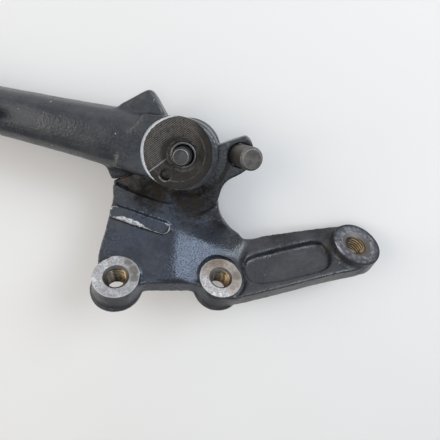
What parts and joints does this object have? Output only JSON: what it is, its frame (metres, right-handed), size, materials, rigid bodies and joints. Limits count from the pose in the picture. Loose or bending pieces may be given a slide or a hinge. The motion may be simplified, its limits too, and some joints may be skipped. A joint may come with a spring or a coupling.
{
  "type": "motorcycle side stand",
  "caption": "Forged motorcycle side stand: tapped mounting bracket, forked leg that folds about a hex pivot bolt, spring pins and foot plate.",
  "frame": {"origin": "where the axis of the pivot bolt meets the flat bottom of the bolt head, on the plane that the part lies on", "axes": "+Z along the pivot axis from the bolt head to the switch seat; the deployed leg points towards -X and the arm of the bracket towards +X"},
  "size_m": [0.3587, 0.1662, 0.056],
  "materials": {
    "black_paint": "semi-gloss black stove enamel with fine orange peel, chipped and dusty",
    "worn_steel": "worn, partly painted pin steel",
    "bolt_steel": "zinc plated bolt steel",
    "bush_bronze": "satin sintered bronze",
    "seal_rubber": "matt black rubber",
    "machined_steel": "bare milled steel of the boss faces and the switch seat, pitted and rusty",
    "thread_steel": "brass-tinted cut threads"
  },
  "bodies": {
    "bracket_body": {"bracket": "black_paint", "spring_hook_pin": "worn_steel", "pivot_bush_front": "bush_bronze", "pivot_bush_rear": "bush_bronze", "dust_seal_front": "seal_rubber", "dust_seal_rear": "seal_rubber"},
    "leg_body": {"leg": "black_paint", "pivot_bolt": "bolt_steel", "bolt_washer": "bolt_steel", "leg_spring_pin": "worn_steel", "foot_plate": "black_paint", "foot_weld": "black_paint", "foot_tang": "black_paint", "tang_weld": "black_paint"}
  },
  "joints": [
    {"name": "leg_pivot", "type": "hinge", "parent": "bracket_body", "child": "leg_body", "pos_m": [0, 0, 0.02], "axis": [0, 0, -1], "range_deg": [0, 100]}
  ]
}
